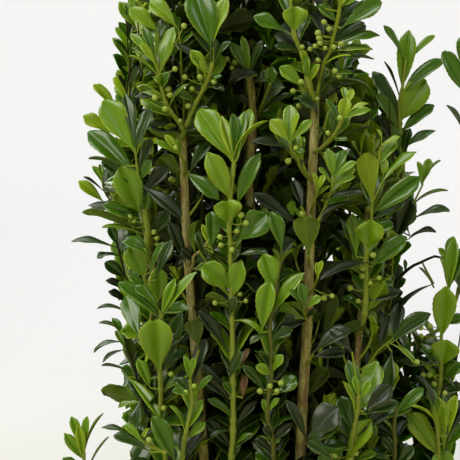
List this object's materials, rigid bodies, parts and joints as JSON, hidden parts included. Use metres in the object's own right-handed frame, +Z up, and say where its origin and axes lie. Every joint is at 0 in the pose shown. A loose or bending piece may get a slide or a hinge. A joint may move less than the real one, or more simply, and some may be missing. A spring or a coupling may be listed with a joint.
{
  "type": "upright japanese holly shrub",
  "caption": "Narrow upright evergreen shrub: a short trunk rooted in level ground forks into slim stems that carry masses of small glossy leaves with a few green berries.",
  "frame": {"origin": "centre of the flat cut under the trunk, at ground level", "axes": "+Z straight up the plant, -Y towards the side that the picture shows, +X to its right"},
  "size_m": [0.2509, 0.2417, 0.8517],
  "materials": {
    "bark": "rough grey-brown bark, greener on the younger stems",
    "leaf": "glossy dark to yellow-green leaves"
  },
  "bodies": {
    "root": {"trunk": "bark", "stem_centre": "bark", "stem_front": "bark", "stem_front_left": "bark", "stem_right": "bark", "stem_back_right": "bark", "stem_back": "bark", "stem_back_left": "bark", "stem_left": "bark", "stem_front_right": "bark", "foliage_centre_low": "leaf", "foliage_centre_middle": "leaf", "foliage_centre_high": "leaf", "foliage_centre_top": "leaf", "foliage_front_low": "leaf", "foliage_front_middle": "leaf", "foliage_front_high": "leaf", "foliage_front_top": "leaf", "foliage_front_left_low": "leaf", "foliage_front_left_middle": "leaf", "foliage_front_left_high": "leaf", "foliage_front_left_top": "leaf", "foliage_right_low": "leaf", "foliage_right_middle": "leaf", "foliage_right_high": "leaf", "foliage_right_top": "leaf", "foliage_back_right_low": "leaf", "foliage_back_right_middle": "leaf", "foliage_back_right_high": "leaf", "foliage_back_right_top": "leaf", "foliage_back_low": "leaf", "foliage_back_middle": "leaf", "foliage_back_high": "leaf", "foliage_back_top": "leaf", "foliage_back_left_low": "leaf", "foliage_back_left_middle": "leaf", "foliage_back_left_high": "leaf", "foliage_back_left_top": "leaf", "foliage_left_low": "leaf", "foliage_left_middle": "leaf", "foliage_left_high": "leaf", "foliage_left_top": "leaf", "foliage_front_right_low": "leaf", "foliage_front_right_middle": "leaf", "foliage_front_right_high": "leaf", "foliage_front_right_top": "leaf"}
  },
  "joints": []
}
